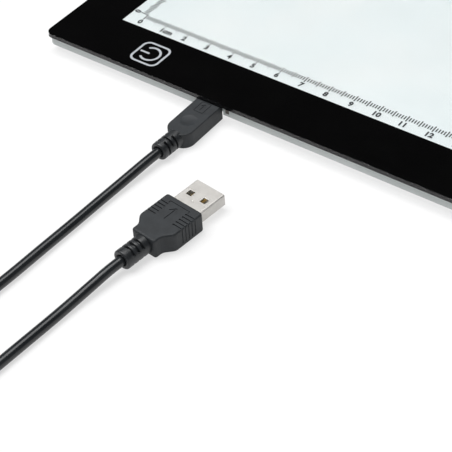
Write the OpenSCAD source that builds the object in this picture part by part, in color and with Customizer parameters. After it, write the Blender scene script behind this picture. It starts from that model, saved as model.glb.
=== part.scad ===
// Edge-lit A4 tracing light box with a detachable USB lead.
// Origin: middle of the pad's footprint, on the surface it stands on.
// +X runs right along the near edge, +Y away from the user, +Z up.

/* [Pad] */
// Width of the pad along its near edge
pad_w = 350; // [345:1:360]
// Depth of the pad from the near edge to the far edge
pad_d = 250; // [245:1:260]
// Corner radius of the clear top sheet
pad_corner = 3; // [2:0.5:5]
// Width of the lit window, which the frame's printed border leaves open
window_w = 310; // [300:1:312]
// Depth of the lit window
window_d = 210; // [200:1:212]
// Distance from the pad's left edge to the window
window_left = 18.4; // [17:0.1:22]
// Distance from the pad's near edge to the window
window_near = 21.6; // [18:0.1:22]

/* [Layers] */
// Height of the rubber feet
foot_h = 2.6; // [2.2:0.1:3]
// Thickness of the body under the clear sheet
body_t = 3.6; // [3.6:0.05:3.8]
// Thickness of the clear top sheet
sheet_t = 1.4; // [1.2:0.1:2]
// How far the body stands back under the clear sheet's edge
body_inset = 0.8; // [0.5:0.1:1]
// Wall of the side frame
frame_wall = 3; // [2.8:0.1:3.2]
// Thickness of the back cover
cover_t = 0.8; // [0.7:0.1:0.8]
// Thickness of the light guide
guide_t = 2.1; // [2:0.05:2.1]

/* [Light bar] */
// Number of light-emitting diodes along the left edge of the guide
led_count = 30; // [20:1:34]
// Distance between neighbouring diodes
led_pitch = 6.8; // [5:0.1:6.9]
// Number of series resistors on the light bar
resistor_count = 10; // [5:1:15]

/* [Feet] */
// Radius of a rubber foot
foot_r = 6; // [4:0.5:8]
// Distance from a foot's centre to the pad's edges
foot_edge = 20; // [15:1:30]

/* [Touch key] */
// Place of the touch key from the middle of the pad, left and right
key_x = -133.9; // [-136:0.1:-130]
// Place of the touch key from the middle of the pad, near and far
key_y = -115.3; // [-115.5:0.1:-115]

/* [Socket and lead] */
// Place of the socket from the middle of the pad
port_x = -101.8; // [-104:0.1:-100]
// Width of the moulded grip on the small plug
plug_w = 9.8; // [9.4:0.1:10]
// Height of the moulded grip on the small plug
plug_h = 5.9; // [5.4:0.1:5.9]
// Length of the moulded grip on the small plug
plug_l = 20.8; // [19:0.1:22]
// Diameter of the cable
cable_d = 3.5; // [3.4:0.1:3.6]
// Width of the computer-side plug's metal shell
shell_w = 12; // [11.9:0.05:12.1]
// Height of the computer-side plug's metal shell
shell_h = 4.5; // [4.4:0.05:4.6]
// Bare length of the computer-side plug's metal shell
shell_l = 11.6; // [11:0.1:12]
// Width of the computer-side plug's grip
grip_w = 15.2; // [15:0.1:15.6]
// Height of the computer-side plug's grip
grip_h = 7.3; // [7:0.1:7.6]

/* [Hidden] */

$fn = 48;

// Heights, from the surface up
film_t = 0.15;
tape_t = 0.1;
body_top = foot_h + body_t;          // underside of the clear sheet
film_z = body_top - film_t;
frame_top = film_z - tape_t;
cover_top = foot_h + cover_t;
floor_z = cover_top + tape_t;        // inner ledge that the cover is taped to
reflector_t = 0.2;
guide_z = cover_top + reflector_t;
guide_top = guide_z + guide_t;
board_t = 0.8;
board_z = floor_z + 0.4;
board_top = board_z + board_t;
bar_top = floor_z + 0.6;

// Outlines, from the middle of the pad
frame_w = pad_w - 2 * body_inset;
frame_d = pad_d - 2 * body_inset;
inner_w = frame_w - 2 * frame_wall;
inner_d = frame_d - 2 * frame_wall;
lip = 1.2;                           // wall left outside the cover's rebate
rebate_w = frame_w - 2 * lip;
rebate_d = frame_d - 2 * lip;
window_x = window_left + window_w / 2 - pad_w / 2;
window_y = window_near + window_d / 2 - pad_d / 2;
guide_margin = 4;
guide_w = window_w + 2 * guide_margin;
guide_d = window_d + 2 * guide_margin;
guide_left = window_x - guide_w / 2;
guide_right = window_x + guide_w / 2;
guide_near = window_y - guide_d / 2;
guide_far = window_y + guide_d / 2;
face_y = -frame_d / 2;               // outer face of the near wall
wall_y = -inner_d / 2;               // its inner face
recess_y = face_y + lip;             // bottom of the recess round the socket
recess_half = plug_w / 2 + 0.7;

// Electronics in the near left corner
bar_w = 8.4;
bar_x = guide_left - 0.1 - bar_w / 2; // middle of the light bar
bar_near = guide_near + 4;
bar_far = guide_far - 4;
pcb_left = -168;
pcb_right = -88;
pcb_near = wall_y + 0.4;
pcb_far = guide_near - 1.2;
pcb_mid = (pcb_near + pcb_far) / 2;
wire_x = [bar_x - 2.4, bar_x - 0.2];
lens_x = port_x + recess_half + 1.7;
lens_w = 1.6;
lens_z = [3.6, 5.7];

// The small socket and the plug in it share one axis
port_z = (floor_z + frame_top) / 2 - 0.05;
port_w = 7.5;
port_h = 2.4;
port_l = 5.2;
port_wall = 0.22;
port_front = recess_y + 0.2;
port_back = port_front + port_l;
tip_w = 6.85;
tip_h = 1.8;
tip_l = 4.6;
tip_wall = 0.25;
grip_front = recess_y - 0.4;         // front face of the small plug's grip
grip_rear = grip_front - plug_l;
relief_lean = 3;                     // the boot bends a little to the left
relief_z = 3.25;
relief_l = 9.2;
relief_r = 3.2;
relief_set = 1.2;                    // how deep the boot sits in the grip's round back

// The computer-side plug lies on the surface, turned a little from the pad
host_x = -75.55;
host_y = -159.1;
host_turn = 6.4;
host_z = 3.65;
host_grip_l = 18.9;
host_pocket = 5;                     // length of the shell held inside the grip
shell_wall = 0.3;
shell_round = 0.6;
shell_hole = 2.2;
tongue_top = host_z - 0.1;
host_relief_l = 9.6;
host_relief_r = 3.4;

// Route of the cable: hand-set points, then a flat coil of two layers
coil_x = -96;
coil_y = -296;
coil_r = 27;                         // outermost turn's centre line
coil_pitch = 3.55;
coil_turns = 3.5;                    // turns in each layer
coil_inner = coil_r - coil_pitch * coil_turns;
device_route = [
    [-102.2, -152, 3.3], [-102.6, -158, 3.2], [-103.2, -165, 2.7], [-103.8, -172, 2.2],
    [-104.3, -180, 1.9], [-104.7, -192, 1.8], [-105.2, -206, 1.8], [-105.9, -225, 1.8],
    [-107.2, -240, 1.8], [-110.4, -254, 1.8], [-115.2, -268, 1.8], [-120, -281, 1.8],
    [-123, -296, 1.8]];
host_route = [
    [-80, -198.8, 3.6], [-80.6, -204, 3.5], [-81.4, -211, 2.8], [-82.2, -219, 2.1],
    [-82.8, -227, 1.8], [-83.5, -238, 1.8], [-84.2, -249, 1.8], [-84.5, -257, 2],
    [-81.4, -267, 3], [-75.7, -277, 4.5], [-70.3, -287, 5.1], [-69, -296, 5.2]];

// ---- Shared shapes ----

// A flat rectangle with round corners
module rounded_rect(w, d, r) {
    square([w - 2 * r, d], center = true);
    square([w, d - 2 * r], center = true);
    for (x = [-1, 1], y = [-1, 1]) translate([x * (w / 2 - r), y * (d / 2 - r)]) circle(r);
}

// A plate with round corners between two heights
module plate(w, d, r, low, high) {
    translate([0, 0, low]) linear_extrude(high - low) rounded_rect(w, d, r);
}

// A box from one corner to the opposite one
module block(low, high) {
    translate(low) cube([high[0] - low[0], high[1] - low[1], high[2] - low[2]]);
}

// A box centred on x and y, standing on z
module chip(x, y, z, size) {
    translate([x - size[0] / 2, y - size[1] / 2, z]) cube(size);
}

// A flat outline stood up and pushed from y = far towards the user by length
module along_y(x, far, z, length) {
    translate([x, far, z]) rotate([90, 0, 0]) linear_extrude(length) children();
}

// Outline of the small plug: square above, cut corners below
module plug_outline(w, h) {
    cut = h * 0.4;
    polygon([[-w / 2, h / 2], [w / 2, h / 2], [w / 2, cut - h / 2],
        [w / 2 - cut, -h / 2], [cut - w / 2, -h / 2], [-w / 2, cut - h / 2]]);
}

// The printed window's opening, over any height
module window_hole() {
    block([window_x - window_w / 2, window_y - window_d / 2, 0],
        [window_x + window_w / 2, window_y + window_d / 2, 20]);
}

// Places children where the computer-side plug lies: +Y is its nose, y = 0 its front
module at_host() {
    translate([host_x, host_y, 0]) rotate([0, 0, -host_turn]) children();
}

// ---- Top, optics and case ----

module top_sheet() {
    color([0.9, 0.95, 0.95, 0.3]) plate(pad_w, pad_d, pad_corner, body_top, body_top + sheet_t);
}

module border_film() {
    color([0.04, 0.04, 0.04]) difference() {
        plate(pad_w - 0.4, pad_d - 0.4, pad_corner - 0.2, film_z, body_top);
        window_hole();
    }
}

module frame_tape() {
    color([0.1, 0.1, 0.1]) difference() {
        plate(frame_w - 0.8, frame_d - 0.8, pad_corner - 1.2, frame_top, film_z);
        plate(inner_w + 0.4, inner_d + 0.4, 0.5, frame_top - 1, film_z + 1);
    }
}

module guide_plate(low, high) {
    block([guide_left, guide_near, low], [guide_right, guide_far, high]);
}

module diffuser() { color([0.96, 0.97, 0.97]) guide_plate(guide_top, film_z); }
module light_guide() { color([0.85, 0.92, 0.95, 0.5]) guide_plate(guide_z, guide_top); }
module reflector() { color([0.98, 0.98, 0.98]) guide_plate(cover_top, guide_z); }

module spacer_blocks() {
    color([0.3, 0.3, 0.32]) {
        for (y = [-60, 60])
            block([guide_right + 0.1, y - 6, cover_top], [inner_w / 2 - 0.1, y + 6, guide_top]);
        for (x = [-100, 0, 100])
            block([x - 6, guide_far + 0.1, cover_top], [x + 6, inner_d / 2 - 0.1, guide_top]);
        for (x = [0, 100])
            block([x - 6, wall_y + 0.1, cover_top], [x + 6, guide_near - 0.1, guide_top]);
    }
}

module side_frame() {
    color([0.66, 0.68, 0.68]) difference() {
        plate(frame_w, frame_d, pad_corner - body_inset, foot_h, frame_top);
        plate(inner_w, inner_d, 0.5, foot_h - 1, frame_top + 1);
        plate(rebate_w, rebate_d, 1, foot_h - 1, floor_z);
        // recess round the plug, then the way in for the socket
        block([port_x - recess_half, face_y - 1, foot_h - 1],
            [port_x + recess_half, recess_y, frame_top + 1]);
        block([port_x - port_w / 2 - 0.1, recess_y - 1, foot_h - 1],
            [port_x + port_w / 2 + 0.1, wall_y + 1, frame_top + 1]);
        block([lens_x - lens_w / 2, face_y - 1, lens_z[0]],
            [lens_x + lens_w / 2, wall_y + 1, lens_z[1]]);
    }
}

module cover_tape() {
    color([0.15, 0.15, 0.15]) difference() {
        plate(rebate_w - 0.4, rebate_d - 0.4, 0.8, cover_top, floor_z);
        plate(inner_w + 0.6, inner_d + 0.6, 0.5, cover_top - 1, floor_z + 1);
        block([port_x - recess_half, face_y, 0], [port_x + recess_half, wall_y, 20]);
    }
}

module back_cover() {
    color([0.9, 0.9, 0.9]) plate(rebate_w - 0.2, rebate_d - 0.2, 0.9, foot_h, cover_top);
}

module rubber_feet() {
    edge = 0.5;
    color([0.16, 0.16, 0.17])
    for (x = [foot_edge - pad_w / 2, 0, pad_w / 2 - foot_edge], y = [-1, 1])
        translate([x, y * (pad_d / 2 - foot_edge), 0]) rotate_extrude()
            polygon([[0, 0], [foot_r - edge, 0], [foot_r, edge], [foot_r, foot_h], [0, foot_h]]);
}

// ---- Light bar ----

module led_tape() {
    color([0.95, 0.95, 0.9])
        block([bar_x - bar_w / 2, bar_near, cover_top], [bar_x + bar_w / 2, bar_far, floor_z]);
}

module led_board() {
    color([0.92, 0.92, 0.9])
        block([bar_x - bar_w / 2, bar_near, floor_z], [bar_x + bar_w / 2, bar_far, bar_top]);
}

module leds() {
    size = [1.1, 4, 1.2];
    x = guide_left - 0.2 - size[0] / 2;
    color([0.98, 0.9, 0.55])
    for (i = [0 : led_count - 1])
        chip(x, window_y + (i - (led_count - 1) / 2) * led_pitch, bar_top, size);
}

module led_resistors() {
    step = (bar_far - bar_near - 16) / (resistor_count - 1);
    color([0.12, 0.12, 0.13])
    for (i = [0 : resistor_count - 1])
        chip(bar_x - 1, bar_near + 8 + i * step, bar_top, [0.8, 1.6, 0.5]);
}

// ---- Control electronics ----

module board_tape() {
    color([0.2, 0.2, 0.2])
        block([pcb_left + 4, pcb_near + 1.5, cover_top], [port_x - 8, pcb_far - 1.5, board_z]);
}

module control_board() {
    color([0.05, 0.35, 0.2]) difference() {
        block([pcb_left, pcb_near, board_z], [pcb_right, pcb_far, board_top]);
        block([port_x - port_w / 2 - 0.1, pcb_near - 1, board_z - 1],
            [port_x + port_w / 2 + 0.1, port_back + 0.1, board_top + 1]);
    }
}

module touch_pad() {
    color([0.8, 0.5, 0.3]) chip(key_x, key_y, film_z - 0.1, [11, 10, 0.1]);
}

module touch_foam() {
    color([0.35, 0.35, 0.37]) chip(key_x, key_y, board_top, [6, 5, film_z - 0.1 - board_top]);
}

// A small moulded chip with legs along its two long sides
module small_chip(x, y, body, legs) {
    chip(x, y, board_top + 0.1, body);
    for (side = [-1, 1], i = [0 : legs - 1])
        chip(x + (i - (legs - 1) / 2) * 0.95, y + side * (body[1] / 2 + 0.2), board_top,
            [0.4, 0.8, 0.3]);
}

module touch_chip() { color([0.1, 0.1, 0.1]) small_chip(key_x + 12, pcb_mid, [2.9, 1.6, 1], 3); }
module dimmer_transistor() { color([0.1, 0.1, 0.1]) small_chip(key_x + 20, pcb_mid, [2.9, 1.3, 0.9], 2); }

module board_capacitors() {
    color([0.7, 0.55, 0.4])
    for (x = [key_x + 7, key_x + 16, pcb_left + 14]) chip(x, pcb_mid + 2, board_top, [2, 1.2, 0.9]);
}

module board_resistors() {
    color([0.12, 0.12, 0.13])
    for (i = [0 : 5]) chip(pcb_left + 18 + i * 2, pcb_mid - 2.5, board_top, [0.8, 1.6, 0.45]);
}

module solder_pads() {
    color([0.8, 0.8, 0.82])
    for (x = wire_x) {
        translate([x, pcb_far - 1.6, board_top]) cylinder(r = 0.9, h = 0.12);
        translate([x, bar_near + 1.5, bar_top]) cylinder(r = 0.9, h = 0.12);
    }
}

// A wire from the control board to the light bar
module led_wire(x) {
    from = [x, pcb_far - 2.4, board_top + 0.7];
    to = [x, bar_near + 2.3, board_top + 0.55];
    run = to - from;
    translate(from) rotate([-atan2(run[1], run[2]), 0, 0]) cylinder(d = 1, h = norm(run));
}

module led_wire_plus() { color([0.75, 0.1, 0.08]) led_wire(wire_x[0]); }
module led_wire_minus() { color([0.08, 0.08, 0.08]) led_wire(wire_x[1]); }

module indicator_led() {
    color([0.95, 0.95, 0.85]) chip(lens_x, pcb_near + 0.6, board_top, [1.6, 0.8, 0.6]);
}

module indicator_lens() {
    gap = 0.05;
    color([0.5, 0.47, 0.43])
        block([lens_x - lens_w / 2 + gap, face_y - 0.05, lens_z[0] + gap],
            [lens_x + lens_w / 2 - gap, wall_y - 0.2, lens_z[1] - gap]);
}

// ---- Socket ----

module port_shell() {
    wing = [1.3, 1.2, 0.2];
    color([0.75, 0.75, 0.74]) {
        along_y(port_x, port_back, port_z, port_l) difference() {
            plug_outline(port_w, port_h);
            plug_outline(port_w - 2 * port_wall, port_h - 2 * port_wall);
        }
        for (side = [-1, 1], y = [port_front + 2.6, port_back - 0.7])
            chip(port_x + side * (port_w / 2 + wing[0] / 2 - 0.05), y, board_top, wing);
    }
}

module port_tongue() {
    gap = 0.03;
    base_l = 0.9;
    color([0.1, 0.1, 0.1]) {
        along_y(port_x, port_back - 0.05, port_z, base_l)
            plug_outline(port_w - 2 * port_wall - gap, port_h - 2 * port_wall - gap);
        block([port_x - 1.85, port_front + 1.3, port_z - 0.05],
            [port_x + 1.85, port_back - base_l, port_z + 0.5]);
    }
}

module port_contacts() {
    color([0.85, 0.68, 0.3])
    for (i = [-2 : 2]) {
        x = port_x + i * 0.65;
        block([x - 0.14, port_front + 1.5, port_z - 0.13], [x + 0.14, port_back - 1, port_z - 0.05]);
        block([x - 0.14, port_back, board_top], [x + 0.14, port_back + 1.1, board_top + 0.12]);
    }
}

// ---- Small plug on the lead ----

module plug_shell() {
    color([0.78, 0.77, 0.75]) along_y(port_x, grip_front + tip_l, port_z, tip_l + 5) difference() {
        plug_outline(tip_w, tip_h);
        plug_outline(tip_w - 2 * tip_wall, tip_h - 2 * tip_wall);
    }
}

module plug_insulator() {
    slot_half = 2.1;
    inner_h = tip_h - 2 * tip_wall;
    color([0.1, 0.1, 0.1]) difference() {
        along_y(port_x, grip_front + tip_l - 0.3, port_z, tip_l + 4)
            plug_outline(tip_w - 2 * tip_wall, inner_h);
        block([port_x - slot_half, grip_front - 0.4, port_z - 0.32],
            [port_x + slot_half, grip_front + tip_l + 1, port_z + inner_h]);
    }
}

module plug_contacts() {
    color([0.85, 0.68, 0.3])
    for (i = [-2 : 2]) {
        x = port_x + i * 0.65;
        block([x - 0.14, grip_front, port_z - 0.32], [x + 0.14, grip_front + tip_l - 0.6, port_z - 0.2]);
    }
}

module plug_latches() {
    z = port_z - tip_h / 2;
    color([0.7, 0.7, 0.68])
    for (side = [-1, 1])
        chip(port_x + side * 1.9, grip_front + 3.2, z - 0.06, [0.7, 0.8, 0.06]);
}

// Outline of the small plug's grip: square nose, round back
module plug_grip_outline() {
    r = 4.4;
    translate([-plug_w / 2, -plug_l + r]) square([plug_w, plug_l - r]);
    translate([r - plug_w / 2, -plug_l]) square([plug_w - 2 * r, r]);
    for (side = [-1, 1]) translate([side * (plug_w / 2 - r), -plug_l + r]) circle(r);
}

module plug_grip() {
    color([0.2, 0.21, 0.22]) difference() {
        translate([port_x, grip_front, 0]) linear_extrude(plug_h) plug_grip_outline();
        along_y(port_x, grip_front + 1, port_z, 6) plug_outline(tip_w, tip_h);
        at_boot() rotate([90, 0, 0]) cylinder(r = relief_r, h = relief_l);
    }
}

// Where the small plug's boot starts, turned with it
module at_boot() {
    translate([port_x, grip_rear + relief_set, relief_z]) rotate([0, 0, -relief_lean]) children();
}

// Ribbed boot along -Y from its root: three pairs of slots leave ribs on two solid spines.
// turns says how far each pair is turned from spines above and below.
module ribbed_boot(r, length, root, slot, rib, spine, turns) {
    core = r - 1.1;
    rotate([90, 0, 0]) difference() {
        cylinder(r = r, h = length);
        for (i = [0 : 2], side = [0, 180])
            translate([0, 0, root + i * (slot + rib)]) rotate([0, 0, turns[i] + side])
                difference() {
                    translate([spine / 2, -r - 1, 0]) cube([r + 1 - spine / 2, 2 * r + 2, slot]);
                    translate([0, 0, -1]) cylinder(r = core, h = slot + 2);
                }
    }
}

module plug_relief() {
    color([0.17, 0.18, 0.19]) at_boot()
        ribbed_boot(relief_r, relief_l, 2.6, 0.8, 1.1, 1.7, [0, 90, 0]);
}

// ---- Cable ----

sides = 8;
function unit(v) = v / norm(v);
function heading(p, i) = unit(p[min(i + 1, len(p) - 1)] - p[max(i - 1, 0)]);
function side_way(t) = unit(cross(t, [0, 0, 1]));
// A smooth curve through the points: Catmull-Rom between neighbours
function knot(p, i) = p[max(0, min(i, len(p) - 1))];
function smooth(p, i, t) = let(a = knot(p, i - 1), b = knot(p, i), c = knot(p, i + 1), d = knot(p, i + 2))
    0.5 * (2 * b + (c - a) * t + (2 * a - 5 * b + 4 * c - d) * t * t + (3 * b - a - 3 * c + d) * t * t * t);
function rounded_route(p) = [for (i = [0 : len(p) - 2], t = [0, 0.5]) smooth(p, i, t), p[len(p) - 1]];
function ring(c, t, r) = let(s = side_way(t), u = cross(s, t))
    [for (k = [0 : sides - 1]) let(a = 360 * (k + 0.5) / sides) c + r * (cos(a) * s + sin(a) * u)];

// A round tube swept along a route, closed at both ends
module tube(route, r) {
    p = rounded_route(route);
    n = len(p);
    flat = r / cos(180 / sides);     // flats, not corners, touch the surface
    points = [for (i = [0 : n - 1]) each ring(p[i], heading(p, i), flat)];
    walls = [for (i = [0 : n - 2], k = [0 : sides - 1])
        let(a = i * sides + k, b = i * sides + (k + 1) % sides) [a, b, b + sides, a + sides]];
    polyhedron(points, concat([[for (k = [sides - 1 : -1 : 0]) k]], walls,
        [[for (k = [0 : sides - 1]) (n - 1) * sides + k]]));
}

module cable_device_end() { color([0.16, 0.17, 0.18]) tube(device_route, cable_d / 2); }
module cable_host_end() { color([0.16, 0.17, 0.18]) tube(host_route, cable_d / 2); }

module cable_coil() {
    color([0.16, 0.17, 0.18]) translate([coil_x, coil_y, 0]) rotate_extrude($fn = 96)
        translate([coil_inner - cable_d / 2, 0])
            square([coil_r - coil_inner + cable_d, 2 * cable_d]);
}

module coil_tie() {
    width = 6;
    thick = 0.4;
    low = coil_inner - cable_d / 2;
    high = coil_r + cable_d / 2;
    color([0.1, 0.1, 0.1]) translate([coil_x, coil_y, 0]) difference() {
        block([-width / 2, -high - thick - 0.3, 0], [width / 2, thick - low, 2 * cable_d + thick]);
        block([-width, -high - 0.3, thick], [width, -low, 2 * cable_d]);
    }
}

// ---- Computer-side plug ----

module host_relief() {
    color([0.17, 0.18, 0.19]) at_host() translate([0, -shell_l - host_grip_l, host_z])
        ribbed_boot(host_relief_r, host_relief_l, 2.2, 0.9, 1.1, 2.6, [90, 90, 90]);
}

// The metal shell's solid outline, thinned by inset all round
module shell_tube(front, length, inset) {
    along_y(0, front, host_z, length)
        rounded_rect(shell_w - 2 * inset, shell_h - 2 * inset, shell_round - inset);
}

module host_grip() {
    w = grip_w / 2;
    neck = 4.9;
    corner = 1.2;
    color([0.2, 0.21, 0.22]) at_host() difference() {
        translate([0, -shell_l, 0]) linear_extrude(grip_h)
            polygon([[-w + corner, 0], [w - corner, 0], [w, -corner], [w, -12.6], [neck, -15.8],
                [neck, -host_grip_l], [-neck, -host_grip_l], [-neck, -15.8], [-w, -12.6], [-w, -corner]]);
        shell_tube(0, shell_l + host_pocket, 0);
    }
}

module host_shell() {
    color([0.8, 0.79, 0.77]) at_host() difference() {
        shell_tube(0, shell_l + host_pocket, 0);
        shell_tube(1, shell_l + host_pocket + 2, shell_wall);
        for (side = [-1, 1]) chip(side * 3, -6.1, host_z - shell_h, [shell_hole, shell_hole, 2 * shell_h]);
    }
}

module host_tongue() {
    gap = 0.35;                      // clear of the shell's rounded inner corners
    low = host_z - shell_h / 2 + shell_wall;
    half = shell_w / 2 - gap;
    color([0.93, 0.93, 0.9]) at_host() intersection() {
        shell_tube(-0.6, shell_l + host_pocket - 1, shell_wall);
        union() {
            block([-half, -shell_l, low], [half, -0.6, tongue_top]);
            block([-half, -shell_l - host_pocket, low], [half, -shell_l, host_z + shell_h / 2 - gap]);
        }
    }
}

module host_contacts() {
    color([0.85, 0.68, 0.3]) at_host()
    for (x = [-3.5, -1, 1, 3.5]) {
        reach = abs(x) > 2 ? 1.2 : 2.2;
        block([x - 0.5, -shell_l + 0.3, tongue_top], [x + 0.5, -reach, tongue_top + 0.15]);
    }
}

top_sheet();
border_film();
frame_tape();
diffuser();
light_guide();
reflector();
spacer_blocks();
side_frame();
cover_tape();
back_cover();
rubber_feet();
led_tape();
led_board();
leds();
led_resistors();
board_tape();
control_board();
touch_pad();
touch_foam();
touch_chip();
dimmer_transistor();
board_capacitors();
board_resistors();
solder_pads();
led_wire_plus();
led_wire_minus();
indicator_led();
indicator_lens();
port_shell();
port_tongue();
port_contacts();
plug_shell();
plug_insulator();
plug_contacts();
plug_latches();
plug_grip();
plug_relief();
cable_device_end();
cable_coil();
coil_tie();
cable_host_end();
host_relief();
host_grip();
host_shell();
host_tongue();
host_contacts();
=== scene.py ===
from math import cos, pi, radians, sin

import bmesh
import bpy
from mathutils import Matrix, Vector


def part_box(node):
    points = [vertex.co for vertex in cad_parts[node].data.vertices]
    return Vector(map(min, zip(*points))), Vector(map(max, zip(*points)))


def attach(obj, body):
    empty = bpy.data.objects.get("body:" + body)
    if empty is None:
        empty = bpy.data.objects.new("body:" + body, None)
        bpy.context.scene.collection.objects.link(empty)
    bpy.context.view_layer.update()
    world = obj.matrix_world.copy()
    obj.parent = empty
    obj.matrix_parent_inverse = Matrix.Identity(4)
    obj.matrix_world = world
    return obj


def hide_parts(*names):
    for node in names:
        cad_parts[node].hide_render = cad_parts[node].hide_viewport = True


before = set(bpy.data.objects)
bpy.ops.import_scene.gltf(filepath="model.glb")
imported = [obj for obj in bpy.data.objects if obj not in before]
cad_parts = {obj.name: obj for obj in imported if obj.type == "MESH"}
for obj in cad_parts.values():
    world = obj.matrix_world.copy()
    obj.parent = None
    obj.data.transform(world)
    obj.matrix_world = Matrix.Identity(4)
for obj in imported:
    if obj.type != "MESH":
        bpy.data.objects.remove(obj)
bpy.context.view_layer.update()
mm = 0.001
scene = bpy.context.scene
scene.view_settings.view_transform = "Standard"
print("frame loaded:", len(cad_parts), "nodes")


lookout = {
    "place": (0.13974, -0.42233, 0.30522),
    "azimuth": 38.58,    # turned left from straight ahead
    "elevation": 42.98,  # looking down
    "roll": -3.88,
    "lens": 114.0,       # on a 36 mm wide sensor
    "shift": (-0.0011, 0.0011),
}

eye = bpy.data.cameras.new("camera")
eye.lens = lookout["lens"]
eye.sensor_width = 36
eye.clip_start = 0.01
eye.shift_x, eye.shift_y = lookout["shift"]
camera = bpy.data.objects.new("camera", eye)
scene.collection.objects.link(camera)
camera.matrix_world = (
    Matrix.Translation(lookout["place"])
    @ Matrix.Rotation(radians(lookout["azimuth"]), 4, "Z")
    @ Matrix.Rotation(radians(90 - lookout["elevation"]), 4, "X")
    @ Matrix.Rotation(radians(lookout["roll"]), 4, "Z")
)
scene.camera = camera


class Wire:
    # one output socket; + - * and ** on it add the maths nodes
    def __init__(self, tree, socket):
        self.tree = tree
        self.socket = socket

    def maths(self, operation, first, second):
        return self.tree.add("ShaderNodeMath", {"operation": operation}, {0: first, 1: second})

    def __add__(self, other):
        return self.maths("ADD", self, other)

    def __radd__(self, other):
        return self.maths("ADD", other, self)

    def __sub__(self, other):
        return self.maths("SUBTRACT", self, other)

    def __rsub__(self, other):
        return self.maths("SUBTRACT", other, self)

    def __mul__(self, other):
        return self.maths("MULTIPLY", self, other)

    def __rmul__(self, other):
        return self.maths("MULTIPLY", other, self)

    def __pow__(self, other):
        return self.maths("POWER", self, other)


class Finish:
    # a material and the few node patterns that the finishes share
    def __init__(self, name, owner=None):
        self.made = owner or bpy.data.materials.new(name)
        self.made.use_nodes = True
        self.nodes = self.made.node_tree.nodes
        self.links = self.made.node_tree.links

    def add(self, kind, settings=None, inputs=None, output=0):
        node = self.nodes.new(kind)
        for key, value in (settings or {}).items():
            setattr(node, key, value)
        self.feed(node, inputs or {})
        return Wire(self, node.outputs[output])

    def feed(self, node, inputs):
        for key, value in inputs.items():
            if isinstance(value, Wire):
                self.links.new(value.socket, node.inputs[key])
            else:
                node.inputs[key].default_value = value

    def shade(self, inputs):
        self.feed(self.nodes["Principled BSDF"], inputs)
        return self.made

    def millimetres(self, stretch=(1, 1, 1)):
        # the object's own coordinates, in millimetres
        place = self.add("ShaderNodeTexCoord", output="Object")
        size = tuple(s / mm for s in stretch)
        return self.add("ShaderNodeVectorMath", {"operation": "MULTIPLY"}, {0: place, 1: size})

    def noise(self, place, perMm, detail=2.0):
        return self.add("ShaderNodeTexNoise", {}, {"Vector": place, "Scale": perMm, "Detail": detail})

    def cells(self, place, perMm):
        return self.add("ShaderNodeTexVoronoi", {}, {"Vector": place, "Scale": perMm})

    def mask(self, value, low, high):
        return self.add("ShaderNodeMapRange", {"interpolation_type": "SMOOTHSTEP"},
                        {"Value": value, "From Min": low, "From Max": high})

    def blend(self, factor, first, second):
        return self.add("ShaderNodeMix", {"data_type": "RGBA"}, {0: factor, 6: first, 7: second}, 2)

    def bump(self, height, depth):
        return self.add("ShaderNodeBump", {}, {"Height": height, "Distance": depth * mm})


def tone(red, green, blue):
    return (red, green, blue, 1.0)


def moulded(name, look):
    # moulded plastic or rubber: slow mottle in the shade, fine spark-eroded grain
    skin = Finish(name)
    here = skin.millimetres()
    mottle = skin.mask(skin.noise(here, look.get("patch", 0.25), 3.0), 0.3, 0.7)
    grain = skin.noise(here, look.get("grain", 6.0), 2.0)
    worn = skin.mask(skin.noise(here, look.get("wear", 1.1), 4.0), 0.56, 0.78)
    return skin.shade({
        "Base Color": skin.blend(mottle, look["dark"], look["light"]),
        "Roughness": look["rough"] + (grain - 0.5) * look.get("spread", 0.12) - worn * 0.05,
        "Normal": skin.bump(grain, look.get("relief", 0.012)),
        "Specular IOR Level": look.get("gloss", 0.5),
    })


def metal(name, look):
    # rolled or plated metal: fine streaks along one axis and faint clouding
    skin = Finish(name)
    streak = skin.noise(skin.millimetres(look.get("stretch", (6, 0.4, 6))), 1.0, 3.0)
    cloud = skin.noise(skin.millimetres(), look.get("patch", 0.35), 3.0)
    return skin.shade({
        "Base Color": skin.blend(skin.mask(cloud, 0.3, 0.7), look["dark"], look["light"]),
        "Metallic": look.get("metal", 1.0),
        "Roughness": look["rough"] + (streak - 0.5) * look.get("spread", 0.16),
        "Normal": skin.bump(streak, look.get("relief", 0.004)),
    })


def speckled(name, look):
    # foam, tape and ceramic: small cells, with a darker tone in the pores
    skin = Finish(name)
    here = skin.millimetres()
    pores = skin.cells(here, look.get("cell", 3.0))
    cloud = skin.noise(here, 0.8, 3.0)
    shade = skin.mask(pores * 0.7 + cloud * 0.3, 0.1, 0.5)
    return skin.shade({
        "Base Color": skin.blend(shade, look["dark"], look["light"]),
        "Roughness": look["rough"] + (cloud - 0.5) * 0.15,
        "Normal": skin.bump(pores, look.get("relief", 0.03)),
    })


def clearSheetFinish():
    # polished acrylic over the print: it bends sight, but light from lamps and matt faces goes straight
    look = {"clear": tone(0.975, 0.99, 0.985), "dusty": tone(0.96, 0.975, 0.97),
            "shade": tone(0.95, 0.96, 0.957), "rough": 0.015, "bends": 1.49}
    skin = Finish("clearAcrylic")
    haze = skin.mask(skin.noise(skin.millimetres(), 0.05, 4.0), 0.35, 0.65)
    skin.shade({
        "Base Color": skin.blend(haze, look["clear"], look["dusty"]),
        "Roughness": look["rough"],
        "IOR": look["bends"],
        "Transmission Weight": 1.0,
    })
    through = skin.add("ShaderNodeBsdfTransparent", {}, {"Color": look["shade"]})
    sheet = Wire(skin, skin.nodes["Principled BSDF"].outputs[0])
    for kind in ("Is Shadow Ray", "Is Diffuse Ray"):
        ray = skin.add("ShaderNodeLightPath", output=kind)
        sheet = skin.add("ShaderNodeMixShader", {}, {0: ray, 1: sheet, 2: through})
    skin.links.new(sheet.socket, skin.nodes["Material Output"].inputs["Surface"])
    return skin.made


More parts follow.
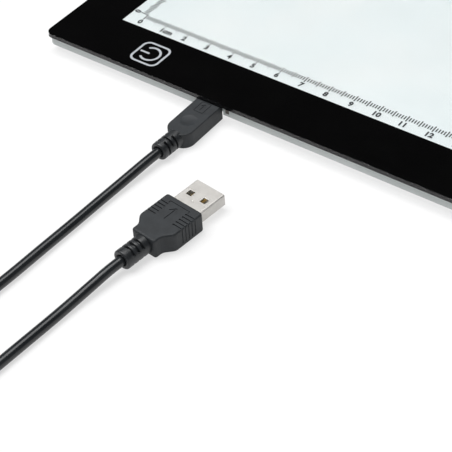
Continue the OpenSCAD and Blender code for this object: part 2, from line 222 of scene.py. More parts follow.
def milkFinish():
    # opal diffuser: white, faintly lit, with the soft cloud that the guide's dots leave
    look = {"dark": tone(0.5, 0.53, 0.54), "light": tone(0.52, 0.545, 0.55), "glow": 0.42}
    skin = Finish("opalDiffuser")
    here = skin.millimetres()
    cloud = skin.mask(skin.noise(here, 0.02, 3.0), 0.3, 0.7)
    grain = skin.noise(here, 4.0, 2.0)
    return skin.shade({
        "Base Color": skin.blend(cloud, look["dark"], look["light"]),
        "Roughness": 0.55 + (grain - 0.5) * 0.1,
        "Emission Color": skin.blend(cloud, tone(0.9, 0.96, 0.97), tone(1, 1, 1)),
        "Emission Strength": look["glow"],
        "Normal": skin.bump(grain, 0.01),
    })


def guideFinish():
    # clear guide plate: its back carries a lattice of printed dots
    skin = Finish("lightGuide")
    dots = skin.mask(skin.cells(skin.millimetres(), 0.6), 0.25, 0.3)
    return skin.shade({
        "Base Color": skin.blend(dots, tone(0.92, 0.95, 0.96), tone(0.78, 0.86, 0.88)),
        "Roughness": 0.12 + (1 - dots) * 0.3,
        "Emission Color": skin.blend(dots, tone(1, 1, 1), tone(0.85, 0.93, 1)),
        "Emission Strength": 0.15,
    })


def boardFinish():
    # green solder mask with buried tracks along one way
    skin = Finish("boardGreen")
    tracks = skin.noise(skin.millimetres((0.15, 2.2, 1)), 1.0, 1.0)
    track = skin.mask(tracks, 0.5, 0.56)
    return skin.shade({
        "Base Color": skin.blend(track, tone(0.012, 0.09, 0.04), tone(0.03, 0.2, 0.09)),
        "Roughness": 0.35 + track * 0.08,
        "Normal": skin.bump(track, 0.02),
    })


finishes = {
    "clear_sheet": clearSheetFinish(),
    "diffuser": milkFinish(),
    "light_guide": guideFinish(),
    "board_green": boardFinish(),
    "black_print": moulded("blackPrint", {
        "dark": tone(0.0007, 0.0007, 0.0008), "light": tone(0.0012, 0.0012, 0.0013),
        "rough": 0.6, "gloss": 0.0, "patch": 0.08, "relief": 0.002}),
    "black_tape": speckled("blackTape", {
        "dark": tone(0.008, 0.008, 0.008), "light": tone(0.02, 0.02, 0.02), "rough": 0.75}),
    "reflector": moulded("whiteReflector", {
        "dark": tone(0.86, 0.87, 0.88), "light": tone(0.92, 0.93, 0.93), "rough": 0.45}),
    "foam": speckled("greyFoam", {
        "dark": tone(0.03, 0.03, 0.033), "light": tone(0.07, 0.07, 0.075), "rough": 0.9}),
    "frame_grey": moulded("frameGrey", {
        "dark": tone(0.54, 0.575, 0.57), "light": tone(0.62, 0.655, 0.65),
        "rough": 0.42, "patch": 0.06, "grain": 5.0, "relief": 0.006}),
    "back_cover": moulded("backCover", {
        "dark": tone(0.7, 0.705, 0.71), "light": tone(0.76, 0.765, 0.77),
        "rough": 0.5, "patch": 0.03, "grain": 1.6, "relief": 0.05}),
    "foot_rubber": moulded("footRubber", {
        "dark": tone(0.012, 0.012, 0.013), "light": tone(0.02, 0.02, 0.021),
        "rough": 0.8, "patch": 0.4, "grain": 3.0, "relief": 0.03}),
    "thermal_tape": speckled("thermalTape", {
        "dark": tone(0.6, 0.6, 0.55), "light": tone(0.8, 0.8, 0.76), "rough": 0.7}),
    "led_board": moulded("ledBoard", {
        "dark": tone(0.72, 0.73, 0.71), "light": tone(0.8, 0.8, 0.78), "rough": 0.35}),
    "led": moulded("ledPhosphor", {
        "dark": tone(0.8, 0.66, 0.2), "light": tone(0.9, 0.8, 0.35), "rough": 0.3}),
    "chip_black": moulded("chipBlack", {
        "dark": tone(0.008, 0.008, 0.008), "light": tone(0.015, 0.015, 0.015),
        "rough": 0.6, "grain": 9.0, "relief": 0.02}),
    "copper": metal("bareCopper", {
        "dark": tone(0.75, 0.36, 0.2), "light": tone(0.86, 0.46, 0.28), "rough": 0.35}),
    "capacitor": speckled("ceramic", {
        "dark": tone(0.22, 0.13, 0.07), "light": tone(0.36, 0.24, 0.14), "rough": 0.5}),
    "solder": metal("solder", {
        "dark": tone(0.6, 0.6, 0.62), "light": tone(0.78, 0.78, 0.8), "rough": 0.25}),
    "wire_red": moulded("wireRed", {
        "dark": tone(0.4, 0.015, 0.01), "light": tone(0.5, 0.03, 0.02), "rough": 0.35}),
    "wire_black": moulded("wireBlack", {
        "dark": tone(0.012, 0.012, 0.012), "light": tone(0.02, 0.02, 0.02), "rough": 0.35}),
    "lens": moulded("smokyLens", {
        "dark": tone(0.1, 0.092, 0.085), "light": tone(0.16, 0.145, 0.13),
        "rough": 0.3, "patch": 0.8, "relief": 0.004}),
    "socket_steel": metal("socketSteel", {
        "dark": tone(0.55, 0.55, 0.54), "light": tone(0.66, 0.66, 0.65), "rough": 0.3}),
    "plug_steel": metal("satinNickel", {
        "dark": tone(0.59, 0.572, 0.542), "light": tone(0.66, 0.642, 0.612),
        "rough": 0.42, "spread": 0.1, "relief": 0.003, "metal": 0.45}),
    "insulator_black": moulded("insulatorBlack", {
        "dark": tone(0.008, 0.008, 0.008), "light": tone(0.016, 0.016, 0.016), "rough": 0.5}),
    "insulator_white": moulded("insulatorWhite", {
        "dark": tone(0.74, 0.735, 0.7), "light": tone(0.8, 0.795, 0.76), "rough": 0.4}),
    "gold": metal("goldFlash", {
        "dark": tone(0.78, 0.52, 0.18), "light": tone(0.9, 0.66, 0.28), "rough": 0.28}),
    "grip_black": moulded("gripBlack", {
        "dark": tone(0.018, 0.021, 0.024), "light": tone(0.024, 0.028, 0.032),
        "rough": 0.55, "patch": 0.3, "grain": 5.0, "relief": 0.014, "gloss": 0.4}),
    "boot_black": moulded("bootBlack", {
        "dark": tone(0.016, 0.018, 0.02), "light": tone(0.023, 0.026, 0.029),
        "rough": 0.38, "patch": 0.4, "grain": 5.0, "relief": 0.01}),
    "cable_black": moulded("cableBlack", {
        "dark": tone(0.014, 0.016, 0.018), "light": tone(0.02, 0.023, 0.025),
        "rough": 0.2, "patch": 0.12, "grain": 4.0, "relief": 0.006, "spread": 0.08}),
    "tie_black": speckled("tieBlack", {
        "dark": tone(0.006, 0.006, 0.006), "light": tone(0.018, 0.018, 0.018),
        "rough": 0.8, "cell": 2.2, "relief": 0.06}),
    "print_grey": moulded("rulerInk", {
        "dark": tone(0.012, 0.015, 0.017), "light": tone(0.02, 0.024, 0.027),
        "rough": 0.6, "patch": 0.5, "relief": 0.002}),
    "print_white": moulded("keyInk", {
        "dark": tone(0.46, 0.48, 0.52), "light": tone(0.5, 0.52, 0.56),
        "rough": 0.5, "patch": 0.5, "relief": 0.002}),
}
print("finishes made:", len(finishes))


def cube(bm, low, high):
    low = Vector(low)
    high = Vector(high)
    place = Matrix.Translation((low + high) / 2) @ Matrix.Diagonal((*(high - low), 1))
    return bmesh.ops.create_cube(bm, size=1, matrix=place)["verts"]


def soften(bm, edges, width, segments, clamp=True):
    bmesh.ops.bevel(bm, geom=list(edges), offset=width, offset_type="OFFSET", affect="EDGES",
                    segments=segments, profile=0.5, material=-1, clamp_overlap=clamp)


def corners(bm, degrees=25):
    bm.normal_update()
    return [e for e in bm.edges if len(e.link_faces) == 2 and e.calc_face_angle() > radians(degrees)]


def uprights(bm, test):
    # vertical edges whose place passes the test
    found = []
    for e in bm.edges:
        a, b = (v.co for v in e.verts)
        if abs(a.z - b.z) > 0.9 * (a - b).length and test((a + b) / 2):
            found.append(e)
    return found


def prism(bm, outline, thickness, place):
    # a flat outline in XY pushed along Z
    face = bm.faces.new([bm.verts.new((x, y, 0)) for x, y in outline])
    pushed = bmesh.ops.extrude_face_region(bm, geom=[face])["geom"]
    top = [v for v in pushed if isinstance(v, bmesh.types.BMVert)]
    bmesh.ops.translate(bm, verts=top, vec=(0, 0, thickness))
    bmesh.ops.transform(bm, matrix=place, verts=list(face.verts) + top)


def arc(bm, inner, outer, low, high, start, sweep, steps, place):
    # a bar of square section bent round Z
    at = Matrix.Rotation(radians(start), 3, "Z")
    section = [(inner, low), (outer, low), (outer, high), (inner, high)]
    face = bm.faces.new([bm.verts.new(at @ Vector((r, 0, z))) for r, z in section])
    before = set(bm.verts) - set(face.verts)
    geom = [face, *face.edges, *face.verts]
    bmesh.ops.spin(bm, geom=geom, cent=(0, 0, 0), axis=(0, 0, 1), dvec=(0, 0, 0),
                   angle=radians(sweep), steps=steps, use_merge=False, use_duplicate=False)
    bmesh.ops.transform(bm, matrix=place, verts=[v for v in bm.verts if v not in before])


def loose(bm):
    bmesh.ops.recalc_face_normals(bm, faces=bm.faces)
    mesh = bpy.data.meshes.new("loose")
    bm.to_mesh(mesh)
    bm.free()
    made = bpy.data.objects.new("loose", mesh)
    scene.collection.objects.link(made)
    return made


def carved(bm, cutter, operation="DIFFERENCE"):
    # bm with the cutter taken out of it, or joined to it
    body = loose(bm)
    tool = loose(cutter)
    change = body.modifiers.new("carve", "BOOLEAN")
    change.operation = operation
    change.solver = "EXACT"
    change.use_self = True
    change.object = tool
    solved = body.evaluated_get(bpy.context.evaluated_depsgraph_get())
    result = bmesh.new()
    result.from_mesh(solved.to_mesh())
    solved.to_mesh_clear()
    for used in (body, tool):
        mesh = used.data
        bpy.data.objects.remove(used)
        bpy.data.meshes.remove(mesh)
    return result


def settle(name, bm, body, slotName, nodes=(), finish=None, smooth=32):
    # the finished piece: closed, facing outwards, riding on its body
    bmesh.ops.remove_doubles(bm, verts=bm.verts, dist=0.0005 * mm)
    bmesh.ops.recalc_face_normals(bm, faces=bm.faces)
    mesh = bpy.data.meshes.new(name)
    bm.to_mesh(mesh)
    bm.free()
    mesh.shade_smooth()
    mesh.set_sharp_from_angle(angle=radians(smooth))
    mesh.materials.append(finishes[finish or slotName])
    piece = bpy.data.objects.new(name, mesh)
    scene.collection.objects.link(piece)
    even = piece.modifiers.new("even shading", "WEIGHTED_NORMAL")
    even.keep_sharp = True
    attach(piece, body)
    if nodes:
        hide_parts(*nodes)
    return piece


def copyOf(node):
    # the CAD node's mesh, merged and with its flat faces whole
    bm = bmesh.new()
    bm.from_mesh(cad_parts[node].data)
    bmesh.ops.remove_doubles(bm, verts=bm.verts, dist=0.002 * mm)
    bmesh.ops.dissolve_limit(bm, angle_limit=radians(0.5), verts=bm.verts, edges=bm.edges)
    return bm


def softened(name, node, body, slotName, width, segments=2, degrees=25):
    bm = copyOf(node)
    soften(bm, corners(bm, degrees), width * mm, segments)
    return settle(name, bm, body, slotName, [node])


gripLow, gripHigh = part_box("plug_grip")
shellLow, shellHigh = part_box("host_shell")
sheetLow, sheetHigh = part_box("top_sheet")
portX = (gripLow.x + gripHigh.x) / 2

smallBoot = {"radius": 3.2, "length": 9.2, "sunk": 1.2, "lean": 3.0, "height": 3.25,
             "root": 2.6, "slot": 0.8, "rib": 1.1, "turns": (0, 90, 0), "spine": 15}
hostPlug = {"turn": 6.4, "shell": 16.6, "bare": 11.6, "gripLength": 18.9, "height": 3.65}
hostBoot = {"radius": 3.4, "length": 9.6, "root": 2.2, "slot": 0.9, "rib": 1.1,
            "turns": (90, 90, 90), "spine": 23}

smallBootPlace = Matrix.Translation(
    (portX, gripLow.y + smallBoot["sunk"] * mm, smallBoot["height"] * mm)
) @ Matrix.Rotation(radians(-smallBoot["lean"]), 4, "Z")

# the computer-side plug: its nose looks along +Y of this place, whose origin is the nose's foot
hostMiddle = (shellLow + shellHigh) / 2
hostPlace = Matrix.Translation((hostMiddle.x, hostMiddle.y, 0)) @ Matrix.Rotation(
    radians(-hostPlug["turn"]), 4, "Z") @ Matrix.Translation((0, hostPlug["shell"] / 2 * mm, 0))
hostBootPlace = hostPlace @ Matrix.Translation(
    (0, -(hostPlug["bare"] + hostPlug["gripLength"]) * mm, hostPlug["height"] * mm))


cable = {
    "diameter": 3.5,
    "length": 1.2,       # metres
    "coilMiddle": (-96, -296),
    "coilRadius": 27,    # of the outermost turn
    "pitch": 3.55,
    "turns": 3.5,        # in each of the two layers
    "low": 1.75,
    "high": 5.25,
    "steps": 16,         # points in each turn
}
deviceRoute = [
    (-102.2, -152, 3.3), (-102.6, -158, 3.2), (-103.2, -165, 2.7), (-103.8, -172, 2.2),
    (-104.3, -180, 1.9), (-104.7, -192, 1.8), (-105.2, -206, 1.8), (-105.9, -225, 1.8),
    (-107.2, -240, 1.8), (-110.4, -254, 1.8), (-115.2, -268, 1.8), (-120, -281, 1.8)]
hostRoute = [
    (-80, -198.8, 3.6), (-80.6, -204, 3.5), (-81.4, -211, 2.8), (-82.2, -219, 2.1),
    (-82.8, -227, 1.8), (-83.5, -238, 1.8), (-84.2, -249, 1.8), (-84.5, -257, 2),
    (-81.4, -267, 3), (-75.7, -277, 4.5), (-70.3, -287, 5.1)]


def coilPoints(wound):
    # lower layer winds in, half a turn climbs, upper layer winds out
    points = []
    layer = wound["turns"]
    total = 2 * layer + 0.5
    for i in range(int(total * wound["steps"]) + 1):
        turn = i / wound["steps"]
        climb = min(max((turn - layer) / 0.5, 0), 1)
        inward = min(turn, layer) - max(turn - layer - 0.5, 0)
        radius = wound["coilRadius"] - wound["pitch"] * inward
        angle = pi + 2 * pi * turn
        ease = climb * climb * (3 - 2 * climb)
        points.append((wound["coilMiddle"][0] + radius * cos(angle),
                       wound["coilMiddle"][1] + radius * sin(angle),
                       wound["low"] + (wound["high"] - wound["low"]) * ease))
    return points


def insideBoot(place, depth):
    return tuple(c / mm for c in place @ Vector((0, -depth * mm, 0)))


cableLine = [insideBoot(smallBootPlace, 5), *deviceRoute, *coilPoints(cable),
             *reversed(hostRoute), insideBoot(hostBootPlace, 5)]

line = bpy.data.curves.new("cable", "CURVE")
line.dimensions = "3D"
line.bevel_depth = cable["diameter"] / 2 * mm
line.bevel_resolution = 4
line.resolution_u = 5
line.use_fill_caps = True
spline = line.splines.new("BEZIER")
spline.bezier_points.add(len(cableLine) - 1)
for point, place in zip(spline.bezier_points, cableLine):
    point.co = Vector(place) * mm
    point.handle_left_type = "AUTO"
    point.handle_right_type = "AUTO"
line.materials.append(finishes["cable_black"])
cord = bpy.data.objects.new("cable", line)
scene.collection.objects.link(cord)
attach(cord, "lead")
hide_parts("cable_device_end", "cable_coil", "cable_host_end")
print("cable laid:", len(cableLine), "points")


bootEnd = {"round": 0.55, "mouth": 2.75, "lip": 0.45, "cup": 0.9, "slotDepth": 1.1, "edge": 0.09}


def boot(name, node, place, sleeve):
    # a rubber sleeve: cylinder, cupped end, three pairs of slots between two spines
    radius = sleeve["radius"] * mm
    length = sleeve["length"] * mm
    along = place @ Matrix.Rotation(radians(90), 4, "X")  # +Z runs down the cable
    bm = bmesh.new()
    bmesh.ops.create_cone(bm, cap_ends=True, segments=56, radius1=radius, radius2=radius, depth=length,
                          matrix=along @ Matrix.Translation((0, 0, length / 2)))
    away = (along.to_3x3() @ Vector((0, 0, 1))).normalized()
    bm.normal_update()
    end = [f for f in bm.faces if f.normal.dot(away) > 0.99]
    soften(bm, [e for f in end for e in f.edges], bootEnd["round"] * mm, 4)
    bm.normal_update()
    end = [max((f for f in bm.faces if f.normal.dot(away) > 0.99), key=lambda f: f.calc_area())]
    bmesh.ops.inset_region(bm, faces=end, thickness=radius - bootEnd["mouth"] * mm)
    bmesh.ops.inset_region(bm, faces=end, thickness=bootEnd["lip"] * mm, depth=-bootEnd["cup"] * mm)
    slots = bmesh.new()
    for i, turn in enumerate(sleeve["turns"]):
        low = (sleeve["root"] + i * (sleeve["slot"] + sleeve["rib"])) * mm
        for side in (0, 180):
            start = turn + side - 90 + sleeve["spine"]
            arc(slots, radius - bootEnd["slotDepth"] * mm, radius + mm, low, low + sleeve["slot"] * mm,
                start, 180 - 2 * sleeve["spine"], 20, along)
    bm = carved(bm, slots)
    soften(bm, corners(bm, 50), bootEnd["edge"] * mm, 2)
    return settle(name, bm, "lead", "boot_black", [node])


plugBoot = boot("plugBoot", "plug_relief", smallBootPlace, smallBoot)
computerBoot = boot("computerBoot", "host_relief", hostBootPlace, hostBoot)
print("boots made")


def arrowInto(bm, tip, size, low, high):
    # a plain insertion arrow lying along Y: shaft, then two barbs back from the tip
    length, width, stroke = (n * mm for n in size)
    cube(bm, (tip[0] - stroke / 2, tip[1] - length, low), (tip[0] + stroke / 2, tip[1] - 0.3 * stroke, high))
    reach = width * 0.72
    for side in (-1, 1):
        turn = Matrix.Translation((tip[0], tip[1], 0)) @ Matrix.Rotation(side * radians(42), 4, "Z")
        barb = cube(bm, (-stroke / 2, -reach, low), (stroke / 2, 0, high))
        bmesh.ops.transform(bm, matrix=turn, verts=barb)


def smallGrip():
    # the dish and the panel stand back from the front; the panel is left, right, near, far
    grip = {"back": 4.4, "front": 0.5, "edge": 0.38, "dish": 3.1, "dishDepth": 0.32,
            "dishBack": 12.6, "panel": (-1.85, 1.85, 2.1, 7.4), "line": 0.28, "depth": 0.16,
            "arrowBack": 1, "arrow": (3.3, 1.9, 0.36)}
    bm = bmesh.new()
    cube(bm, gripLow, gripHigh)
    soften(bm, uprights(bm, lambda p: p.y < gripLow.y + mm), grip["back"] * mm, 14)
    soften(bm, uprights(bm, lambda p: p.y > gripHigh.y - 0.1 * mm), grip["front"] * mm, 3)
    soften(bm, corners(bm, 60), grip["edge"] * mm, 4, clamp=False)
    top = gripHigh.z
    cuts = bmesh.new()
    wide = grip["dish"] * mm
    deep = grip["dishDepth"] * mm
    ball = (wide * wide + deep * deep) / (2 * deep)
    middle = Vector((portX, gripHigh.y - grip["dishBack"] * mm, top + ball - deep))
    bmesh.ops.create_icosphere(cuts, subdivisions=6, radius=ball, matrix=Matrix.Translation(middle))
    bmesh.ops.bisect_plane(cuts, geom=[*cuts.verts, *cuts.edges, *cuts.faces], clear_outer=True,
                           plane_co=(0, 0, top + 1 * mm), plane_no=(0, 0, 1))
    bmesh.ops.holes_fill(cuts, edges=cuts.edges)
    bm = carved(bm, cuts)
    marks = bmesh.new()
    left, right, near, far = (n * mm for n in grip["panel"])
    low = top - grip["depth"] * mm
    high = top + 1 * mm
    half = grip["line"] * mm / 2
    for x in (left, right):
        cube(marks, (portX + x - half, gripHigh.y - far, low), (portX + x + half, gripHigh.y - near, high))
    for y in (near, far):
        cube(marks, (portX + left - half, gripHigh.y - y - half, low),
             (portX + right + half, gripHigh.y - y + half, high))
    arrowInto(marks, (portX, gripHigh.y - near - grip["arrowBack"] * mm), grip["arrow"], low, high)
    bm = carved(bm, marks)
    return settle("plugGrip", bm, "lead", "grip_black", ["plug_grip"])


def computerGrip():
    # from front to back: a straight block, a narrowing shoulder, a tail; ribs, line and arrow on top
    grip = {"width": 15.2, "height": 7.3, "straight": 12.6, "shoulder": 3.2, "neck": 9.8, "tail": 3.1,
            "front": 1.0, "back": 0.9, "edge": 0.7, "ribs": 5, "firstRib": 15.4, "ribStep": 1.42,
            "ribWidth": 0.5, "ribDepth": 0.38, "ribSide": 0.14, "ribInner": 3.7, "ribFoot": 1.5,
            "line": 13.85, "lineReach": 4.1, "lineEnd": 0.9, "lineHalf": 0.17, "lineDepth": 0.22,
            "arrowTip": 15.4, "arrow": (5.6, 3.4, 0.5)}
    half = grip["width"] / 2 * mm
    high = grip["height"] * mm
    front = -hostPlug["bare"] * mm
    bm = bmesh.new()
    cube(bm, (-half, front - grip["straight"] * mm, 0), (half, front, high))
    bm.normal_update()
    back = next(f for f in bm.faces if f.normal.y < -0.9)
    narrow = grip["neck"] / grip["width"]
    for length, scale in ((grip["shoulder"], narrow), (grip["tail"], 1)):
        pushed = bmesh.ops.extrude_face_region(bm, geom=[back])["geom"]
        bmesh.ops.delete(bm, geom=[back], context="FACES_ONLY")
        back = next(f for f in pushed if isinstance(f, bmesh.types.BMFace))
        bmesh.ops.translate(bm, verts=back.verts, vec=(0, -length * mm, 0))
        bmesh.ops.scale(bm, verts=back.verts, vec=(scale, 1, 1))
    bmesh.ops.dissolve_limit(bm, angle_limit=radians(0.5), verts=bm.verts, edges=bm.edges)
    soften(bm, uprights(bm, lambda p: p.y > front - 0.1 * mm), grip["front"] * mm, 6)
    soften(bm, uprights(bm, lambda p: p.y < front - mm), grip["back"] * mm, 4)
    soften(bm, corners(bm, 60), grip["edge"] * mm, 5, clamp=False)
    cuts = bmesh.new()
    low = high - grip["ribDepth"] * mm
    side = half - grip["ribSide"] * mm
    foot = grip["ribFoot"] * mm
    inner = grip["ribInner"] * mm
    out = half + mm
    over = high + mm
    elbow = [(inner, low), (side, low), (side, foot), (out, foot), (out, over), (inner, over)]
    for flip in (1, -1):
        for i in range(grip["ribs"]):
            y = -(grip["firstRib"] + i * grip["ribStep"] - grip["ribWidth"] / 2) * mm
            stand = Matrix.Translation((0, y, 0)) @ Matrix.Rotation(radians(90), 4, "X")
            mirror = Matrix.Diagonal((flip, 1, 1, 1))
            prism(cuts, elbow, grip["ribWidth"] * mm, mirror @ stand)
    low = high - grip["lineDepth"] * mm
    reach = grip["lineReach"] * mm
    y = -grip["line"] * mm
    stroke = grip["lineHalf"] * mm
    cube(cuts, (-reach, y - stroke, low), (reach, y + stroke, over))
    for x in (-reach, reach):
        cube(cuts, (x - stroke, y - grip["lineEnd"] * mm, low), (x + stroke, y + stroke, over))
    arrowInto(cuts, (0, -grip["arrowTip"] * mm), grip["arrow"], low, over)
    bm = carved(bm, cuts)
    bmesh.ops.transform(bm, matrix=hostPlace, verts=bm.verts)
    return settle("computerGrip", bm, "lead", "grip_black", ["host_grip"])


plugGrip = smallGrip()
usbGrip = computerGrip()
print("grips made")


def computerShell():
    # the folded shell with its two windows and a small lanced mark behind them
    shell = {"edge": 0.1, "mark": (0.35, -8.6), "markSize": (1.5, 0.42), "markTurn": 22,
             "markHeights": (5.75, 6.2)}
    bm = copyOf("host_shell")
    cut = bmesh.new()
    wide, long = (n * mm / 2 for n in shell["markSize"])
    low, high = (n * mm for n in shell["markHeights"])
    cube(cut, (-wide, -long, low), (wide, long, high))
    x, y = (n * mm for n in shell["mark"])
    turn = Matrix.Translation((x, y, 0)) @ Matrix.Rotation(radians(-shell["markTurn"]), 4, "Z")
    bmesh.ops.transform(cut, matrix=hostPlace @ turn, verts=cut.verts)
    bm = carved(bm, cut)
    soften(bm, corners(bm, 40), shell["edge"] * mm, 2)
    return settle("computerShell", bm, "lead", "plug_steel", ["host_shell"])


leadPieces = [
    plugBoot, computerBoot, plugGrip, usbGrip, computerShell(),
    softened("computerTongue", "host_tongue", "lead", "insulator_white", 0.12),
    softened("computerContacts", "host_contacts", "lead", "gold", 0.04),
    softened("plugNose", "plug_shell", "lead", "plug_steel", 0.05),
    softened("plugInsulator", "plug_insulator", "lead", "insulator_black", 0.04),
    softened("plugContacts", "plug_contacts", "lead", "gold", 0.03),
    softened("plugLatches", "plug_latches", "lead", "plug_steel", 0.02),
]


def framePlate(bm, low, high, corner, wall, steps):
    # a flat frame: block with round corners, its caps inset and opened, the two rims bridged
    cube(bm, low, high)
    soften(bm, uprights(bm, lambda p: True), corner, steps)
    bm.normal_update()
    caps = [f for f in bm.faces if abs(f.normal.z) > 0.99]
    bmesh.ops.inset_individual(bm, faces=caps, thickness=wall)
    rims = [e for f in caps for e in f.edges]
    bmesh.ops.delete(bm, geom=caps, context="FACES_ONLY")
    bmesh.ops.bridge_loops(bm, edges=rims)


def tie():
    # the lap is the strap's end, closed on top of itself and a little to one side
    strap = {"wall": 0.38, "corner": 1.7, "edge": 0.1, "lapLength": 6.5, "lap": 0.18, "lapSide": 2,
             "lapInset": 0.05, "lapSunk": 0.1, "lapCorner": 0.9, "lapEdge": 0.06}
    low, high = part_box("coil_tie")
    deep = high.y - low.y
    tall = high.z - low.z
    wide = high.x - low.x
    bm = bmesh.new()
    framePlate(bm, (-deep / 2, -tall / 2, 0), (deep / 2, tall / 2, wide),
               strap["corner"] * mm, strap["wall"] * mm, 7)
    soften(bm, corners(bm, 70), strap["edge"] * mm, 2)
    # stood up: x becomes y, y becomes z, z becomes x
    stand = Matrix(((0, 0, 1, low.x), (1, 0, 0, (low.y + high.y) / 2), (0, 1, 0, (low.z + high.z) / 2),
                    (0, 0, 0, 1)))
    bmesh.ops.transform(bm, matrix=stand, verts=bm.verts)
    lap = bmesh.new()
    y = (low.y + high.y) / 2 - strap["lapSide"] * mm
    x = (low.x + high.x) / 2
    half = wide / 2 - strap["lapInset"] * mm
    cube(lap, (x - half, y - strap["lapLength"] / 2 * mm, high.z - strap["lapSunk"] * mm),
         (x + half, y + strap["lapLength"] / 2 * mm, high.z + strap["lap"] * mm))
    soften(lap, uprights(lap, lambda p: True), strap["lapCorner"] * mm, 4)
    soften(lap, corners(lap, 60), strap["lapEdge"] * mm, 2)
    bm = carved(bm, lap, "UNION")
    return settle("coilTie", bm, "lead", "tie_black", ["coil_tie"])


leadPieces.append(tie())
print("lead finished:", len(leadPieces), "pieces on the cable")


softened("clearSheet", "top_sheet", "pad", "clear_sheet", 0.05)
softened("sideFrame", "side_frame", "pad", "frame_grey", 0.14)
softened("backCover", "back_cover", "pad", "back_cover", 0.15)
softened("keyLens", "indicator_lens", "pad", "lens", 0.1)


def feet():
    # six rubber feet, each with a rounded rim and a shallow cup underneath
    foot = {"radius": 6, "rim": 0.6, "cup": 0.25, "cupWall": 1.1}
    low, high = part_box("rubber_feet")
    tall = high.z - low.z
    bm = bmesh.new()
    for x in (low.x + foot["radius"] * mm, 0, high.x - foot["radius"] * mm):
        for y in (low.y + foot["radius"] * mm, high.y - foot["radius"] * mm):
            bmesh.ops.create_cone(bm, cap_ends=True, segments=48, radius1=foot["radius"] * mm,
                                  radius2=foot["radius"] * mm, depth=tall,
                                  matrix=Matrix.Translation((x, y, tall / 2)))
    soften(bm, [e for e in bm.edges if all(v.co.z < 0.1 * mm for v in e.verts)], foot["rim"] * mm, 4)
    bm.normal_update()
    soles = [f for f in bm.faces if f.normal.z < -0.99 and len(f.verts) > 20]
    bmesh.ops.inset_individual(bm, faces=soles, thickness=foot["cupWall"] * mm)
    bmesh.ops.inset_individual(bm, faces=soles, thickness=foot["cup"] * mm, depth=-foot["cup"] * mm)
    return settle("rubberFeet", bm, "pad", "foot_rubber", ["rubber_feet"])


feet()
print("pad case made")


def borderPrint():
    # the black film, drawn out to the clear sheet's edge and let a hair into its underside
    film = {"rimWidth": 14, "sunk": 0.005}
    bm = copyOf("border_film")
    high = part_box("border_film")[1]
    x, y = high.x - film["rimWidth"] * mm, high.y - film["rimWidth"] * mm
    rim = [v for v in bm.verts if abs(v.co.x) > x or abs(v.co.y) > y]
    bmesh.ops.scale(bm, verts=rim, vec=(sheetHigh.x / high.x, sheetHigh.y / high.y, 1))
    bmesh.ops.translate(bm, verts=bm.verts, vec=(0, 0, film["sunk"] * mm))
    return settle("borderPrint", bm, "pad", "black_print", ["border_film"])


ruler = {
    "zero": (-150.15, -96.1),
    "length": 300,
    "height": 200,
    "tick": 0.42,
    "short": (0.5, 2.4),   # from the zero line outwards
    "long": (-0.1, 3.0),
    "figure": 3.2,         # height of the numbers' type
    "figureGap": 3.3,      # from the zero line to the numbers
    "bold": 0.045,         # by which the figures' strokes grow, as a share of their height
    "unitShift": 1.9,      # of the first figure, which carries the unit
    "film": 0.02,          # thickness of the ink
    "inkTop": 0.03,        # above the clear sheet's underside
}


def rulerTicks(bm, length, along):
    # along = 0 draws the near ruler, along = 1 the one up the left side
    top = sheetLow.z + ruler["inkTop"] * mm
    half = ruler["tick"] / 2
    for i in range(length + 1):
        near, far = ruler["long"] if i % 5 == 0 else ruler["short"]
        spans = [(i - half, i + half), (-far, -near)]
        if along:
            spans.reverse()
        (x0, x1), (y0, y1) = spans
        zeroX, zeroY = ruler["zero"]
        cube(bm, ((zeroX + x0) * mm, (zeroY + y0) * mm, top - ruler["film"] * mm),
             ((zeroX + x1) * mm, (zeroY + y1) * mm, top))


def lettering(bm, text, place, size):
    font = bpy.data.curves.new("figures", "FONT")
    font.body = text
    font.size = size * mm
    font.align_x = "CENTER"
    font.align_y = "TOP"
    font.offset = ruler["bold"] * size * mm
    font.extrude = ruler["film"] / 2 * mm
    font.resolution_u = 3
    written = bpy.data.objects.new("figures", font)
    scene.collection.objects.link(written)
    mesh = bpy.data.meshes.new_from_object(written)
    mesh.transform(place)
    bm.from_mesh(mesh)
    bpy.data.objects.remove(written)
    bpy.data.meshes.remove(mesh)


def rulerPrint():
    bm = bmesh.new()
    rulerTicks(bm, ruler["length"], 0)
    rulerTicks(bm, ruler["height"], 1)
    zeroX, zeroY = ruler["zero"]
    z = sheetLow.z / mm + ruler["inkTop"] - ruler["film"] / 2
    for cm in range(ruler["length"] // 10 + 1):
        shift = ruler["unitShift"] if cm == 1 else 0
        spot = Vector((zeroX + 10 * cm + shift, zeroY - ruler["figureGap"], z))
        place = Matrix.Translation(spot * mm)
        lettering(bm, "1cm" if cm == 1 else str(cm), place, ruler["figure"])
    for cm in range(ruler["height"] // 10 + 1):
        place = Matrix.Translation(Vector((zeroX - ruler["figureGap"], zeroY + 10 * cm, z)) * mm)
        lettering(bm, str(cm), place @ Matrix.Rotation(radians(-90), 4, "Z"), ruler["figure"])
    return settle("rulerPrint", bm, "pad", "black_print", finish="print_grey")


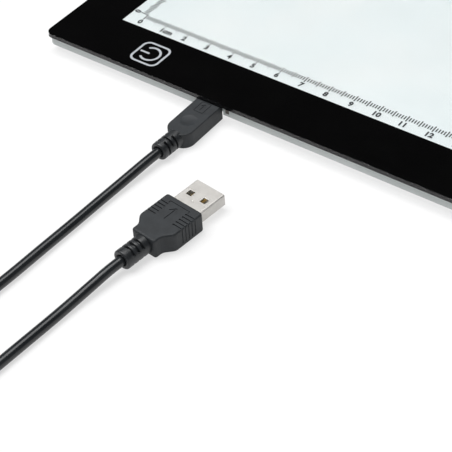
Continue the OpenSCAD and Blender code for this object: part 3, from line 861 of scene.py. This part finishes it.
def keySymbol():
    # a rounded square round a ring that a bar breaks
    symbol = {"middle": (-134.7, -114.55), "half": 6.0, "corner": 2.9, "stroke": 0.85,
              "ring": 3.6, "gap": 45, "bar": (-4.4, -0.5)}
    bm = bmesh.new()
    high = sheetLow.z + ruler["inkTop"] * mm
    low = high - ruler["film"] * mm
    half = symbol["half"] * mm
    framePlate(bm, (-half, -half, low), (half, half, high), symbol["corner"] * mm, symbol["stroke"] * mm, 8)
    stroke = symbol["stroke"] / 2
    arc(bm, (symbol["ring"] - stroke) * mm, (symbol["ring"] + stroke) * mm, low, high,
        180 + symbol["gap"], 360 - 2 * symbol["gap"], 40, Matrix.Identity(4))
    start, end = symbol["bar"]
    cube(bm, (start * mm, -stroke * mm, low), (end * mm, stroke * mm, high))
    x, y = symbol["middle"]
    bmesh.ops.translate(bm, verts=bm.verts, vec=(x * mm, y * mm, 0))
    return settle("keySymbol", bm, "pad", "black_print", finish="print_white")


borderPrint()
rulerPrint()
keySymbol()
print("printing laid")


kept = {
    "frame_tape": "black_tape", "diffuser": "diffuser",
    "light_guide": "light_guide", "reflector": "reflector", "spacer_blocks": "foam",
    "cover_tape": "black_tape", "led_tape": "thermal_tape", "led_board": "led_board",
    "leds": "led", "led_resistors": "chip_black", "board_tape": "foam",
    "control_board": "board_green", "touch_pad": "copper", "touch_foam": "foam",
    "touch_chip": "chip_black", "dimmer_transistor": "chip_black", "board_capacitors": "capacitor",
    "board_resistors": "chip_black", "solder_pads": "solder", "led_wire_plus": "wire_red",
    "led_wire_minus": "wire_black", "indicator_led": "led", "port_shell": "socket_steel",
    "port_tongue": "insulator_black", "port_contacts": "gold",
}
for node, slotName in kept.items():
    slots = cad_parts[node].data.materials
    slots.clear()
    slots.append(finishes[slotName])
print("finishes on CAD nodes:", len(kept))


studio = {
    "floor": 6.0,                       # metres from the middle to an edge
    "paper": tone(0.34, 0.34, 0.34),
    "fibre": tone(0.35, 0.35, 0.351),
    "glow": 0.64,                       # the paper's own light, as on a lit sweep
    "key": {"from": (-0.40, -0.10, 0.91), "strength": 2.5, "spread": 46},
    "back": {"from": (-0.08, 0.30, 0.95), "strength": 1.2, "spread": 38},
    "fill": {"from": (0.55, -0.60, 0.58), "strength": 0.04, "spread": 80},
    "skyLow": 0.4,
    "skyHigh": 0.035,
}

paper = Finish("floorPaper")
fibre = paper.noise(paper.millimetres(), 0.4, 3.0)
paper.shade({
    "Base Color": paper.blend(fibre, studio["paper"], studio["fibre"]),
    "Emission Color": tone(1, 1, 1),
    "Emission Strength": studio["glow"],
    "Roughness": 0.9,
    "Specular IOR Level": 0.1,
})
ground = bmesh.new()
bmesh.ops.create_grid(ground, x_segments=1, y_segments=1, size=studio["floor"])
floorMesh = bpy.data.meshes.new("floor")
ground.to_mesh(floorMesh)
ground.free()
floorMesh.materials.append(paper.made)
floor = bpy.data.objects.new("floor", floorMesh)
scene.collection.objects.link(floor)

for name in ("key", "back", "fill"):
    lamp = studio[name]
    sun = bpy.data.lights.new(name, "SUN")
    sun.energy = lamp["strength"]
    sun.angle = radians(lamp["spread"])
    held = bpy.data.objects.new(name, sun)
    held.matrix_world = Vector(lamp["from"]).to_track_quat("Z", "Y").to_matrix().to_4x4()
    scene.collection.objects.link(held)

air = bpy.data.worlds.new("studio")
scene.world = air
sky = Finish("studio", air)
ray = sky.add("ShaderNodeTexCoord", output="Generated")
height = sky.add("ShaderNodeSeparateXYZ", {}, {"Vector": ray}, "Z")
level = sky.mask(height, 0.02, 0.42)
shade = sky.blend(level, tone(*[studio["skyLow"]] * 3), tone(*[studio["skyHigh"]] * 3))
sky.feed(sky.nodes["Background"], {"Color": shade, "Strength": 1.0})
print("studio lit")
